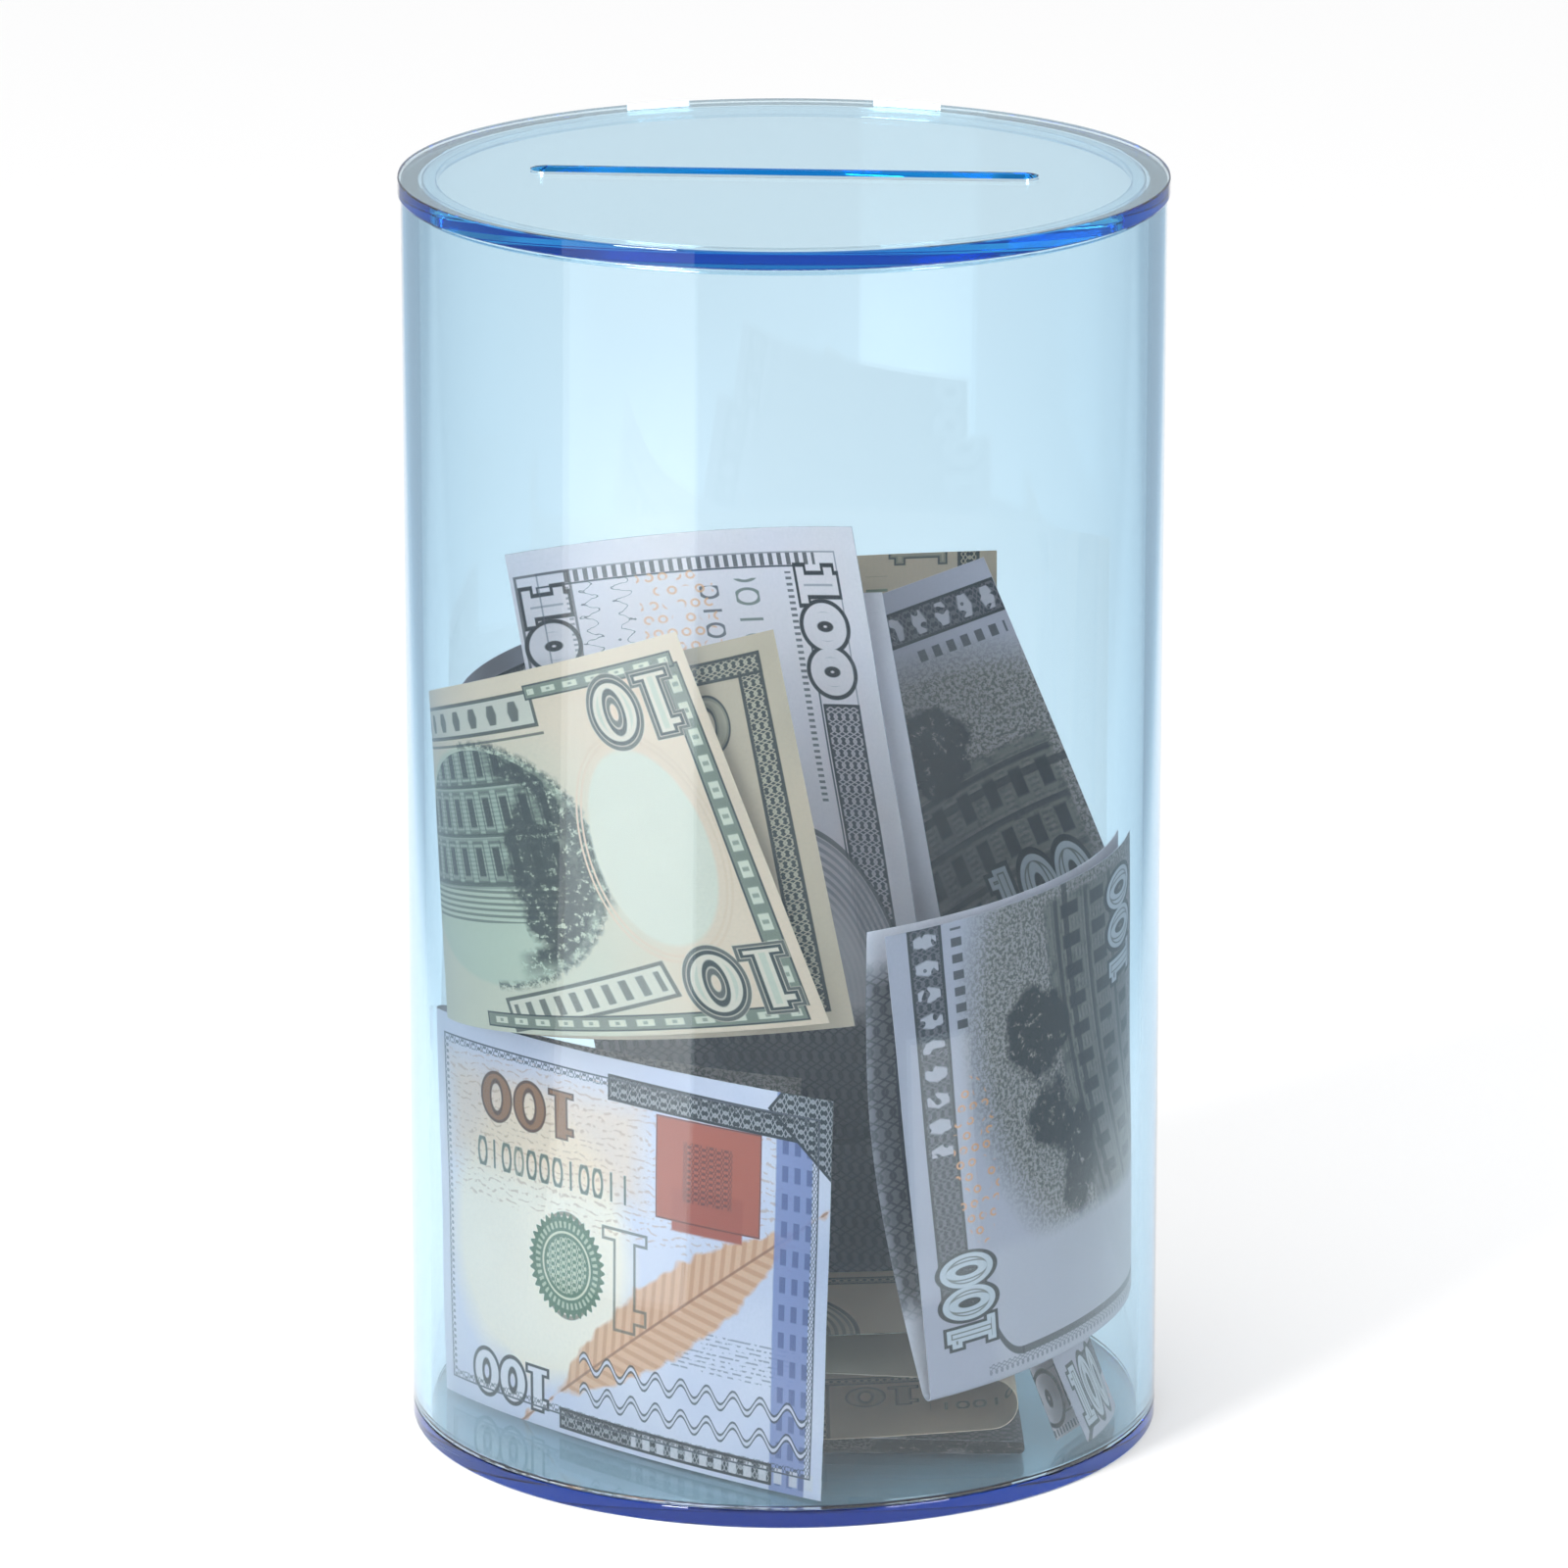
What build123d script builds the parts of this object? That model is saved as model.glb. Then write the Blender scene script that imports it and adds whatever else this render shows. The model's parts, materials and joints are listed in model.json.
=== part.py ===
from build123d import *
import math
import os

# Round donation box: a clear acrylic tube on a glued base, under a loose lid with a coin slot.
# Millimetres, +Z up. The origin is the middle of the base's underside.

# ---- acrylic body ----
tube_outer_diameter = 127.0
tube_wall = 3.0
overall_height = 215.0
base_thickness = 3.0
base_arris = 0.3

# ---- lid ----
lid_thickness = 3.0
lid_overhang = 0.5
lid_arris = 0.3
slot_length = 84.0
slot_width = 5.0

# ---- ring under the lid, which keeps it centred on the tube ----
ring_width = 2.5
ring_thickness = 1.5
ring_clearance = 0.5

# ---- paper notes inside ----
note_length = 156.0
note_width = 66.3
paper_thickness = 0.25
pile_turn = 4.4
pile_radius = 60.5

tube_radius = tube_outer_diameter / 2
bore_radius = tube_radius - tube_wall
tube_length = overall_height - base_thickness - lid_thickness
tube_top = base_thickness + tube_length
ring_outer_radius = bore_radius - ring_clearance
pile_spread = bore_radius / pile_radius


def disc(radius, thickness, bottom, arris):
    """A round plate standing on z = bottom, with both rims broken by a small arris."""
    plate = Pos(0, 0, bottom) * extrude(Circle(radius), thickness)
    rims = plate.edges().filter_by(GeomType.CIRCLE)
    return chamfer(rims, arris)


def make_tube():
    ring = Circle(tube_radius) - Circle(bore_radius)
    return Pos(0, 0, base_thickness) * extrude(ring, tube_length)


def make_base_plate():
    """The base is flush with the tube, so only its lower rim is broken."""
    plate = extrude(Circle(tube_radius), base_thickness)
    lower_rim = plate.edges().sort_by(Axis.Z)[0]
    return chamfer(lower_rim, base_arris)


def make_lid_plate():
    plate = disc(tube_radius + lid_overhang, lid_thickness, tube_top, lid_arris)
    slot = extrude(SlotOverall(slot_length, slot_width), 3 * lid_thickness)
    return plate - Pos(0, 0, tube_top - lid_thickness) * slot


def make_locating_ring():
    ring = Circle(ring_outer_radius) - Circle(ring_outer_radius - ring_width)
    return Pos(0, 0, tube_top - ring_thickness) * extrude(ring, ring_thickness)


def paper_line(bends):
    """The plan line of a bent sheet: bends is a list of (length, turn in degrees), from the origin."""
    point = Vector(0, 0)
    heading = 0.0
    edges = []
    for length, turn in bends:
        if turn == 0:
            end = point + Vector(length, 0).rotate(Axis.Z, heading)
            edges.append(Line(point, end))
        else:
            half_turn = math.radians(turn) / 2
            chord = length * math.sin(half_turn) / half_turn
            end = point + Vector(chord, 0).rotate(Axis.Z, heading + turn / 2)
            edges.append(TangentArc(point, end, tangent=Vector(1, 0).rotate(Axis.Z, heading)))
        point = end
        heading += turn
    return edges


def paper_strip(bends, thickness):
    """The plan of a bent sheet, thickened evenly to both sides of its line."""
    strip = Sketch()
    for edge in paper_line(bends):
        across = (edge % 0).rotate(Axis.Z, 90) * thickness / 2
        strip += sweep(Line(edge @ 0 - across, edge @ 0 + across), path=edge)
    return strip


def bent_note(bends, height):
    """One layer of paper on edge."""
    return extrude(paper_strip(bends, paper_thickness), height, dir=(0, 0, 1))


def pocket_note(bends, height, gap):
    """A note folded across the bottom: two leaves that follow the same bends, gap apart."""
    whole = extrude(paper_strip(bends, gap + 2 * paper_thickness), height, dir=(0, 0, 1))
    inside = extrude(paper_strip(bends, gap), height, dir=(0, 0, 1))
    return whole - Pos(0, 0, paper_thickness) * inside


def place_note(sheet, foot, heading, back=0.0, right=0.0):
    """Put a note's first corner at foot, leaning back and to the right by those angles.

    The pile is arranged for a bore of pile_radius, and each note's middle moves out or in with the bore.
    """
    x, y, z = foot
    posed = Pos(x, y, base_thickness + z) * Rot(-back, right, heading) * sheet
    middle = posed.center()
    shift = Pos(middle.X * (pile_spread - 1), middle.Y * (pile_spread - 1), 0)
    return Rot(0, 0, pile_turn) * shift * posed


def make_notes():
    """Banknotes pushed in through the slot, each folded or bent in its own way."""
    front_low = bent_note([(88.0, -18.0), (3.8, -180.0), (64.2, 44.0)], note_width)
    front_high = bent_note([(71.9, -77.0), (4.4, -180.0), (79.7, 87.0)], note_width)
    upright = bent_note([(note_width, 30.0)], 152.0)
    behind_upright = bent_note([(note_width, -20.0)], 145.0)
    right_side = pocket_note([(note_width, 50.0)], note_length / 2, 2.0)
    back_right = bent_note([(76.0, 0.0), (4.0, -180.0), (76.0, -4.0)], note_width)
    back_upright = bent_note([(note_width, 25.0)], 136.0)
    left_wall = bent_note([(note_length / 2, -78.0)], note_width)
    right_corner = bent_note([(22.0, 22.0), (3.0, 165.0), (20.0, 0.0)], 50.0)
    zigzag = [(34.0, 6.0), (13.0, 172.0), (31.0, 0.0), (10.0, -176.0), (31.0, 0.0)]
    bottom_roll = bent_note(zigzag, note_width / 2)
    bottom_flat = bent_note([(39.0, 0.0), (3.0, 178.0), (39.0, 0.0)], note_width / 2)
    return {
        "note_front_low": place_note(front_low, (6.6, -58.6, 2.0), 147, back=2, right=0.7),
        "note_front_high": place_note(front_high, (1.3, -53.2, 84.4), 176.6, back=8.7, right=-10.7),
        "note_upright": place_note(upright, (35.0, -4.5, 7.4), 140, back=-5, right=-9),
        "note_behind_upright": place_note(behind_upright, (40.0, 2.5, 7.0), 160, back=-5, right=-9.5),
        "note_right_side": place_note(right_side, (21.0, -53.5, 18.2), 30, back=0.5, right=-1.0),
        "note_back_right": place_note(back_right, (57.0, 4.0, 77.5), 158, back=2, right=-23.5),
        "note_back_upright": place_note(back_upright, (38.0, 39.0, 8.0), 170, back=1, right=-5),
        "note_left_wall": place_note(left_wall, (-58.2, 7.0, 59.0), 81.5),
        "note_right_corner": place_note(right_corner, (47.5, -33.0, 2.5), 55, back=12, right=-20),
        "note_bottom_roll": place_note(bottom_roll, (0.5, -7.5, 5.0), 0, back=-90),
        "note_bottom_flat": place_note(bottom_flat, (-0.5, -3.5, 1.0), 0, back=-90),
    }


os.makedirs("parts", exist_ok=True)
pieces = {
    "tube": make_tube(),
    "base_plate": make_base_plate(),
    "lid_plate": make_lid_plate(),
    "locating_ring": make_locating_ring(),
}
pieces.update(make_notes())
for name, piece in pieces.items():
    export_step(piece, f"parts/{name}.step")
    print(name, round(piece.volume, 1), piece.is_valid)
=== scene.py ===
# %% [markdown]
# # A round acrylic donation box, with banknotes inside
#
# The box is four pieces of clear acrylic: a tube, a base glued under it, a loose lid with a slot, and a
# thin ring that keeps the lid centred. What gives it colour is the material itself. Acrylic is faintly
# blue, so a 3 mm wall looks almost white, while light that has crossed the whole disc comes out deep blue.
# The model is loaded first, and everything else is placed from it.

# %% Load the model and keep its box
import json
import math
import bpy
import bmesh
from mathutils import Matrix, Vector, noise

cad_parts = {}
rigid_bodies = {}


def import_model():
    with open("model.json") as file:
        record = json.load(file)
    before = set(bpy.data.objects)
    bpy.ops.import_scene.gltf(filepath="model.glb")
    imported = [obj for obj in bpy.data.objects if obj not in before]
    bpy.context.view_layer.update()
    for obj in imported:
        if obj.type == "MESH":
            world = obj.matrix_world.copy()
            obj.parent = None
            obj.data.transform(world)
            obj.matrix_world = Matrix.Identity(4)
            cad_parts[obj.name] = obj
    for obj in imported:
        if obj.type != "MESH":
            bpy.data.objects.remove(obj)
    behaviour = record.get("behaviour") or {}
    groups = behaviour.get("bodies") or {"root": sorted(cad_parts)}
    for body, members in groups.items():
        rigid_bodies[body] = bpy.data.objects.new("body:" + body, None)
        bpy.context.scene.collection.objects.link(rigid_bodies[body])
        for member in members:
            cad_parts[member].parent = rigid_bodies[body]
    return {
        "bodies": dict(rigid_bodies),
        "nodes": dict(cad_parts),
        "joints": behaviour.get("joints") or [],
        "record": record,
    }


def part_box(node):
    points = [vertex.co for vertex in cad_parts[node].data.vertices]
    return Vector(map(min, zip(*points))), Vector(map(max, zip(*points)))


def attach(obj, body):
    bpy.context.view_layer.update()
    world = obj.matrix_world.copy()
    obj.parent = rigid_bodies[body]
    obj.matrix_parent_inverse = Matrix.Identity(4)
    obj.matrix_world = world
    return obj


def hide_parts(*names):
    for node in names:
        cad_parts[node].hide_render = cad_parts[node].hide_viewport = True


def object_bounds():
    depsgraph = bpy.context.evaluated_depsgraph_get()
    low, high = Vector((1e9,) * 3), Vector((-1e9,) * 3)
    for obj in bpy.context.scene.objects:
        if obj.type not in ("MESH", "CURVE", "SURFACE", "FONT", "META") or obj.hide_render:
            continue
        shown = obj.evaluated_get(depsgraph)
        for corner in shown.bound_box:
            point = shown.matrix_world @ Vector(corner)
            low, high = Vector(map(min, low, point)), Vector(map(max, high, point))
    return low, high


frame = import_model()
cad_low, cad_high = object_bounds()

scene = bpy.context.scene
MM = 0.001

# %% [markdown]
# ## Camera
#
# The box is seen from a little above with a long lens, so its sides stay nearly parallel. The camera
# stands on a circle round the box and aims just above its middle. It needs no lens shift.

# %% Camera
CAMERA_DISTANCE = 1.5638
CAMERA_TURN = math.radians(4.4)
CAMERA_RISE = math.radians(15.245)
FOCAL_LENGTH = 213.05
AIM_ABOVE_MIDDLE = 0.0025

aim = Vector((0, 0, (cad_high.z - cad_low.z) / 2 + AIM_ABOVE_MIDDLE))
back = Vector((
    math.sin(CAMERA_TURN) * math.cos(CAMERA_RISE),
    -math.cos(CAMERA_TURN) * math.cos(CAMERA_RISE),
    math.sin(CAMERA_RISE),
))
camera = bpy.data.objects.new("camera", bpy.data.cameras.new("camera"))
camera.data.lens = FOCAL_LENGTH
camera.data.sensor_width = 36
camera.location = aim + back * CAMERA_DISTANCE
camera.rotation_euler = (-back).to_track_quat("-Z", "Y").to_euler()
scene.collection.objects.link(camera)
scene.camera = camera
print("camera at", [round(c, 3) for c in camera.location])

# %% [markdown]
# ## Values that vary
#
# Much of what follows is drawn by materials and trees. A small class stands for a value that varies over a
# surface, so that a shape can be written as ordinary arithmetic instead of node by node.

# %% Fields
class Field:
    """A value that varies over a surface. Arithmetic with it adds math nodes to its tree."""

    def __init__(self, tree, socket):
        self.tree, self.socket = tree, socket

    def math(self, operation, *others, clamp=False):
        node = self.tree.nodes.new("ShaderNodeMath")
        node.operation, node.use_clamp = operation, clamp
        for socket, value in zip(node.inputs, (self, *others)):
            if isinstance(value, Field):
                self.tree.links.new(value.socket, socket)
            else:
                socket.default_value = value
        return Field(self.tree, node.outputs[0])

    def __add__(self, other): return self.math("ADD", other)
    def __sub__(self, other): return self.math("SUBTRACT", other)
    def __mul__(self, other): return self.math("MULTIPLY", other)
    def __truediv__(self, other): return self.math("DIVIDE", other)
    def __rsub__(self, other): return self.math("MULTIPLY_ADD", -1.0, other)
    __radd__, __rmul__ = __add__, __mul__

    def size(self): return self.math("ABSOLUTE")
    def away(self, centre): return (self - centre).size()
    def over(self, other): return self.math("MAXIMUM", other)
    def under(self, other): return self.math("MINIMUM", other)
    def cell(self): return self.math("FRACT")
    def wave(self): return self.math("SINE")
    def above(self, limit, soft=0.05): return ((self - limit) / soft + 0.5).math("ADD", 0.0, clamp=True)

    def eased(self, start, end):
        """0 before start and 1 after end, eased between them."""
        node = self.tree.nodes.new("ShaderNodeMapRange")
        node.interpolation_type = "SMOOTHSTEP"
        node.inputs["From Min"].default_value = start
        node.inputs["From Max"].default_value = end
        self.tree.links.new(self.socket, node.inputs["Value"])
        return Field(self.tree, node.outputs["Result"])


def split_axes(tree, vector):
    """The three coordinates of a vector socket, as fields."""
    split = tree.nodes.new("ShaderNodeSeparateXYZ")
    tree.links.new(vector, split.inputs["Vector"])
    return [Field(tree, split.outputs[axis]) for axis in "XYZ"]


def noise_field(tree, vector, scale, detail=2.0, roughness=0.5, distort=0.0):
    node = tree.nodes.new("ShaderNodeTexNoise")
    node.inputs["Scale"].default_value = scale
    node.inputs["Detail"].default_value = detail
    node.inputs["Roughness"].default_value = roughness
    node.inputs["Distortion"].default_value = distort
    tree.links.new(vector, node.inputs["Vector"])
    return Field(tree, node.outputs["Fac"])


def blend(tree, mask, below, above):
    """A socket that is below where the mask is 0 and above where it is 1. Each is a socket or a tuple."""
    mix = tree.nodes.new("ShaderNodeMix")
    mix.data_type = "RGBA"
    tree.links.new(mask.socket, mix.inputs["Factor"])
    for label, colour in (("A", below), ("B", above)):
        if isinstance(colour, tuple):
            mix.inputs[label].default_value = (*colour, 1)
        else:
            tree.links.new(colour, mix.inputs[label])
    return mix.outputs["Result"]

# %% [markdown]
# ## Light
#
# Clear plastic shows what is round it, so the studio is a white sweep under a white sky that is a little
# greyer low down at the back, where the lid mirrors it. A strong soft box at the left front lights the
# notes, and a weaker one fills in from the right.
#
# Light that enters an edge is mirrored from face to face many times before it leaves, so Cycles is allowed
# more bounces than it takes by itself. With too few, the edges turn black.

# %% World and bounces
EDGE_BOUNCES = 40
SKY_STRENGTH = 1.03
SKY_WHITE = (1.0, 1.0, 1.0)
SKY_GREY = (0.70, 0.73, 0.76)

scene.view_settings.view_transform = "Standard"
scene.cycles.max_bounces = EDGE_BOUNCES
scene.cycles.transmission_bounces = EDGE_BOUNCES
scene.cycles.glossy_bounces = EDGE_BOUNCES
world = bpy.data.worlds.new("studio")
scene.world = world
world.use_nodes = True
tree = world.node_tree
sky = tree.nodes["Background"]
sky.inputs["Strength"].default_value = SKY_STRENGTH
_, backward, upward = split_axes(tree, tree.nodes.new("ShaderNodeTexCoord").outputs["Generated"])
grey_part = upward.eased(0.62, 0.34) * backward.eased(0.35, 0.75)
tree.links.new(blend(tree, grey_part, SKY_WHITE, SKY_GREY), sky.inputs["Color"])

# %% Soft boxes
def soft_box(name, place, size, watts, colour):
    """A rectangular lamp at place that faces the box. size is its width and height."""
    lamp = bpy.data.lights.new(name, "AREA")
    lamp.shape = "RECTANGLE"
    lamp.size, lamp.size_y = size
    lamp.energy = watts
    lamp.color = colour
    lamp_object = bpy.data.objects.new(name, lamp)
    lamp_object.location = place
    lamp_object.rotation_euler = (Vector(place) - aim).to_track_quat("Z", "Y").to_euler()
    scene.collection.objects.link(lamp_object)


soft_box("key_box", (-0.42, -0.6, 0.45), (0.3, 0.3), 7.5, (1.0, 0.96, 0.93))
soft_box("fill_box", (0.5, -0.5, 0.3), (0.25, 0.3), 2.2, (1.0, 0.97, 0.97))

# %% [markdown]
# The camera looks down, so an upright wall mirrors only the floor. The floor is white where the camera sees
# it and pale grey elsewhere: the grey darkens the sides of the tube and keeps haze off the notes. Two
# glowing cards lie on it out of sight, and they make the two upright highlights.

# %% Floor
FLOOR_REACH = 6.0
FLOOR_WHITE = (0.93, 0.93, 0.93)
FLOOR_GREY = (0.46, 0.50, 0.54)
VIEW_HALF_WIDTH = 0.17
VIEW_SPREAD = 0.10
VIEW_FRONT = -0.11
VIEW_FADE = 0.08


def simple_material(name, colour, roughness):
    material = bpy.data.materials.new(name)
    material.use_nodes = True
    shader = material.node_tree.nodes["Principled BSDF"]
    shader.inputs["Base Color"].default_value = (*colour, 1)
    shader.inputs["Roughness"].default_value = roughness
    return material


floor_mesh = bpy.data.meshes.new("floor")
floor_corners = [(-1, -1), (1, -1), (1, 1), (-1, 1)]
floor_mesh.from_pydata(
    [(x * FLOOR_REACH, y * FLOOR_REACH, cad_low.z - 0.0001) for x, y in floor_corners], [], [(0, 1, 2, 3)])
floor = bpy.data.objects.new("floor", floor_mesh)
scene.collection.objects.link(floor)
floor_paper = simple_material("floor_paper", FLOOR_WHITE, 0.9)
floor.data.materials.append(floor_paper)
tree = floor_paper.node_tree
across, deep, _ = split_axes(tree, tree.nodes.new("ShaderNodeTexCoord").outputs["Object"])
sideways = deep.math("MULTIPLY_ADD", math.tan(CAMERA_TURN), across).size()
widening = deep.math("MULTIPLY_ADD", -VIEW_SPREAD, sideways)
beside = widening.eased(VIEW_HALF_WIDTH, VIEW_HALF_WIDTH + VIEW_FADE)
in_front = deep.eased(VIEW_FRONT, VIEW_FRONT - VIEW_FADE)
tree.links.new(blend(tree, beside.over(in_front), FLOOR_WHITE, FLOOR_GREY),
               tree.nodes["Principled BSDF"].inputs["Base Color"])

# %% Glow cards
def glow_card(name, first_turn, last_turn, near, far, strength):
    """A sector of glowing card on the floor. Turns are degrees from the camera side, right positive."""
    corners = []
    for reach, turns in ((near, (first_turn, last_turn)), (far, (last_turn, first_turn))):
        for share in range(7):
            turn = math.radians(turns[0] + (turns[1] - turns[0]) * share / 6) + CAMERA_TURN
            corners.append((reach * math.sin(turn), -reach * math.cos(turn), cad_low.z + 0.0005))
    mesh = bpy.data.meshes.new(name)
    mesh.from_pydata(corners, [], [tuple(range(len(corners)))])
    card = bpy.data.objects.new(name, mesh)
    scene.collection.objects.link(card)
    material = simple_material(name, (0.9, 0.9, 0.9), 0.9)
    shader = material.node_tree.nodes["Principled BSDF"]
    shader.inputs["Emission Color"].default_value = (1, 1, 1, 1)
    shader.inputs["Emission Strength"].default_value = strength
    mesh.materials.append(material)


glow_card("glow_left", -67, -25.5, 0.17, 1.1, 0.75)
glow_card("glow_right", 35, 53, 0.17, 0.33, 0.8)

# %% [markdown]
# ## Acrylic
#
# Acrylic needs two things here: a surface that bends light, and a body that drinks some of it. The surface
# is the shader's transmission at the index of acrylic. The body is an absorption volume that takes red
# first, then green, and hardly any blue. Sheets and tubes are cast a little unevenly, so a broad, faint
# bump makes the reflections swim.

# %% Acrylic material
ACRYLIC_INDEX = 1.49
RIPPLE_HEIGHT = 0.00004


def acrylic(name, absorb_per_metre, ripple_scale):
    """Clear plastic that absorbs red, green and blue by those amounts per metre."""
    material = bpy.data.materials.new(name)
    material.use_nodes = True
    tree = material.node_tree
    shader = tree.nodes["Principled BSDF"]
    shader.inputs["Base Color"].default_value = (1, 1, 1, 1)
    shader.inputs["Roughness"].default_value = 0.0
    shader.inputs["IOR"].default_value = ACRYLIC_INDEX
    shader.inputs["Transmission Weight"].default_value = 1.0
    drink = tree.nodes.new("ShaderNodeVolumeAbsorption")
    density = max(absorb_per_metre) * 1.02
    drink.inputs["Density"].default_value = density
    drink.inputs["Color"].default_value = (*(1 - a / density for a in absorb_per_metre), 1)
    tree.links.new(drink.outputs["Volume"], tree.nodes["Material Output"].inputs["Volume"])
    place = tree.nodes.new("ShaderNodeTexCoord")
    stretch = tree.nodes.new("ShaderNodeMapping")
    stretch.inputs["Scale"].default_value = ripple_scale
    bump = tree.nodes.new("ShaderNodeBump")
    bump.inputs["Distance"].default_value = RIPPLE_HEIGHT
    tree.links.new(place.outputs["Object"], stretch.inputs["Vector"])
    ripple = noise_field(tree, stretch.outputs["Vector"], scale=1.0, detail=1.0)
    tree.links.new(ripple.socket, bump.inputs["Height"])
    tree.links.new(bump.outputs["Normal"], shader.inputs["Normal"])
    return material


tube_acrylic = acrylic("tube_acrylic", (82.0, 34.0, 11.0), (30, 30, 4))
sheet_acrylic = acrylic("sheet_acrylic", (74.0, 24.0, 7.0), (14, 14, 14))

# %% [markdown]
# ## Tube, base and ring
#
# Both are one rule: a small profile swept round the axis. A Geometry Nodes tree makes the profile from its
# two radii and its height, rounds its corners by the arris, and sweeps it round a circle. The numbers come
# from the model's own boxes. Each piece stays a hair clear of its neighbour, because two polished faces
# that only touch still have air between them, and that air keeps the light inside the edge.

# %% Turning tree
SMOOTH_LIMIT = math.radians(10)


def turning_tree():
    """Sweeps a rectangle between two radii, with small rounded corners, round the Z axis."""
    tree = bpy.data.node_groups.new("turned_ring", "GeometryNodeTree")
    for name in ("Inner Radius", "Outer Radius", "Bottom", "Top", "Arris"):
        tree.interface.new_socket(name=name, in_out="INPUT", socket_type="NodeSocketFloat")
    tree.interface.new_socket(name="Steps", in_out="INPUT", socket_type="NodeSocketInt")
    tree.interface.new_socket(name="Material", in_out="INPUT", socket_type="NodeSocketMaterial")
    tree.interface.new_socket(name="Geometry", in_out="OUTPUT", socket_type="NodeSocketGeometry")
    nodes, links = tree.nodes, tree.links
    given = nodes.new("NodeGroupInput").outputs
    inner, outer = Field(tree, given["Inner Radius"]), Field(tree, given["Outer Radius"])
    bottom, top = Field(tree, given["Bottom"]), Field(tree, given["Top"])
    profile = nodes.new("GeometryNodeCurvePrimitiveQuadrilateral")
    links.new((outer - inner).socket, profile.inputs["Width"])
    links.new((top - bottom).socket, profile.inputs["Height"])
    rounded = nodes.new("GeometryNodeFilletCurve")
    rounded.mode = "POLY"
    rounded.inputs["Count"].default_value = 2
    rounded.inputs["Limit Radius"].default_value = True
    links.new(profile.outputs["Curve"], rounded.inputs["Curve"])
    links.new(given["Arris"], rounded.inputs["Radius"])
    rail = nodes.new("GeometryNodeCurvePrimitiveCircle")
    links.new(given["Steps"], rail.inputs["Resolution"])
    links.new(((outer + inner) * 0.5).socket, rail.inputs["Radius"])
    sweep = nodes.new("GeometryNodeCurveToMesh")
    links.new(rail.outputs["Curve"], sweep.inputs["Curve"])
    links.new(rounded.outputs["Curve"], sweep.inputs["Profile Curve"])
    place = nodes.new("ShaderNodeCombineXYZ")
    links.new(((top + bottom) * 0.5).socket, place.inputs["Z"])
    lift = nodes.new("GeometryNodeTransform")
    links.new(sweep.outputs["Mesh"], lift.inputs["Geometry"])
    links.new(place.outputs["Vector"], lift.inputs["Translation"])
    real = nodes.new("GeometryNodeRealizeInstances")
    finish = nodes.new("GeometryNodeSetMaterial")
    links.new(lift.outputs["Geometry"], real.inputs["Geometry"])
    links.new(real.outputs["Geometry"], finish.inputs["Geometry"])
    links.new(given["Material"], finish.inputs["Material"])
    links.new(finish.outputs["Geometry"], nodes.new("NodeGroupOutput").inputs["Geometry"])
    return tree


def outward(mesh):
    """Merges doubles and turns every face outwards."""
    work = bmesh.new()
    work.from_mesh(mesh)
    bmesh.ops.remove_doubles(work, verts=work.verts, dist=1e-7)
    bmesh.ops.recalc_face_normals(work, faces=work.faces)
    work.to_mesh(mesh)
    work.free()


def smooth_by_angle(mesh):
    """Smooth faces with sharp edges. A wide limit would let the arris tilt the wall's normals."""
    mesh.shade_smooth()
    mesh.set_sharp_from_angle(angle=SMOOTH_LIMIT)


def grown_from(tree, name, values):
    """Runs a Geometry Nodes tree on an empty mesh and returns the result as a plain mesh object."""
    seed = bpy.data.objects.new(name + "_seed", bpy.data.meshes.new(name + "_seed"))
    scene.collection.objects.link(seed)
    modifier = seed.modifiers.new("grow", "NODES")
    modifier.node_group = tree
    keys = {i.name: i.identifier for i in tree.interface.items_tree if i.item_type == "SOCKET"}
    for label, value in values.items():
        modifier[keys[label]] = value
    bpy.context.view_layer.update()
    evaluated = seed.evaluated_get(bpy.context.evaluated_depsgraph_get())
    mesh = bpy.data.meshes.new_from_object(evaluated)
    mesh.name = name
    seed.modifiers.remove(modifier)
    bpy.data.objects.remove(seed)
    piece = bpy.data.objects.new(name, mesh)
    scene.collection.objects.link(piece)
    return piece


# %% Tube and ring
AIR = 0.00002
ARRIS = 0.00025
ROUND_STEPS = 256

turned = turning_tree()
base_low, base_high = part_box("base_plate")
tube_low, tube_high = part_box("tube")
lid_low, lid_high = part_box("lid_plate")
ring_low, ring_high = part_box("locating_ring")
WALL = 0.003
RING_WIDTH = 0.0025


def turned_piece(name, node, body, inner, outer, bottom, top, material):
    piece = grown_from(turned, name, {
        "Inner Radius": inner, "Outer Radius": outer, "Bottom": bottom, "Top": top,
        "Arris": ARRIS, "Steps": ROUND_STEPS, "Material": material})
    outward(piece.data)
    smooth_by_angle(piece.data)
    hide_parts(node)
    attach(piece, body)
    print(name, len(piece.data.vertices), "points", [round(d, 4) for d in piece.dimensions])


tube_radius = tube_high.x
turned_piece("clear_tube", "tube", "root", tube_radius - WALL, tube_radius,
             tube_low.z + AIR, tube_high.z - AIR, tube_acrylic)
turned_piece("clear_locating_ring", "locating_ring", "lid", ring_high.x - RING_WIDTH, ring_high.x,
             ring_low.z, ring_high.z - AIR, tube_acrylic)

# %% [markdown]
# ## Base and lid
#
# A plate is a filled outline with a thickness. The base's outline is a circle. The lid's is a circle with
# the slot cut out of it, two half circles joined by straight sides. Both get a small bevel on their rims,
# which catches the thin bright line that runs round a sheet's edge.

# %% Plates
def circle_points(radius, steps):
    return [(radius * math.cos(math.tau * i / steps), radius * math.sin(math.tau * i / steps))
            for i in range(steps)]


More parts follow.
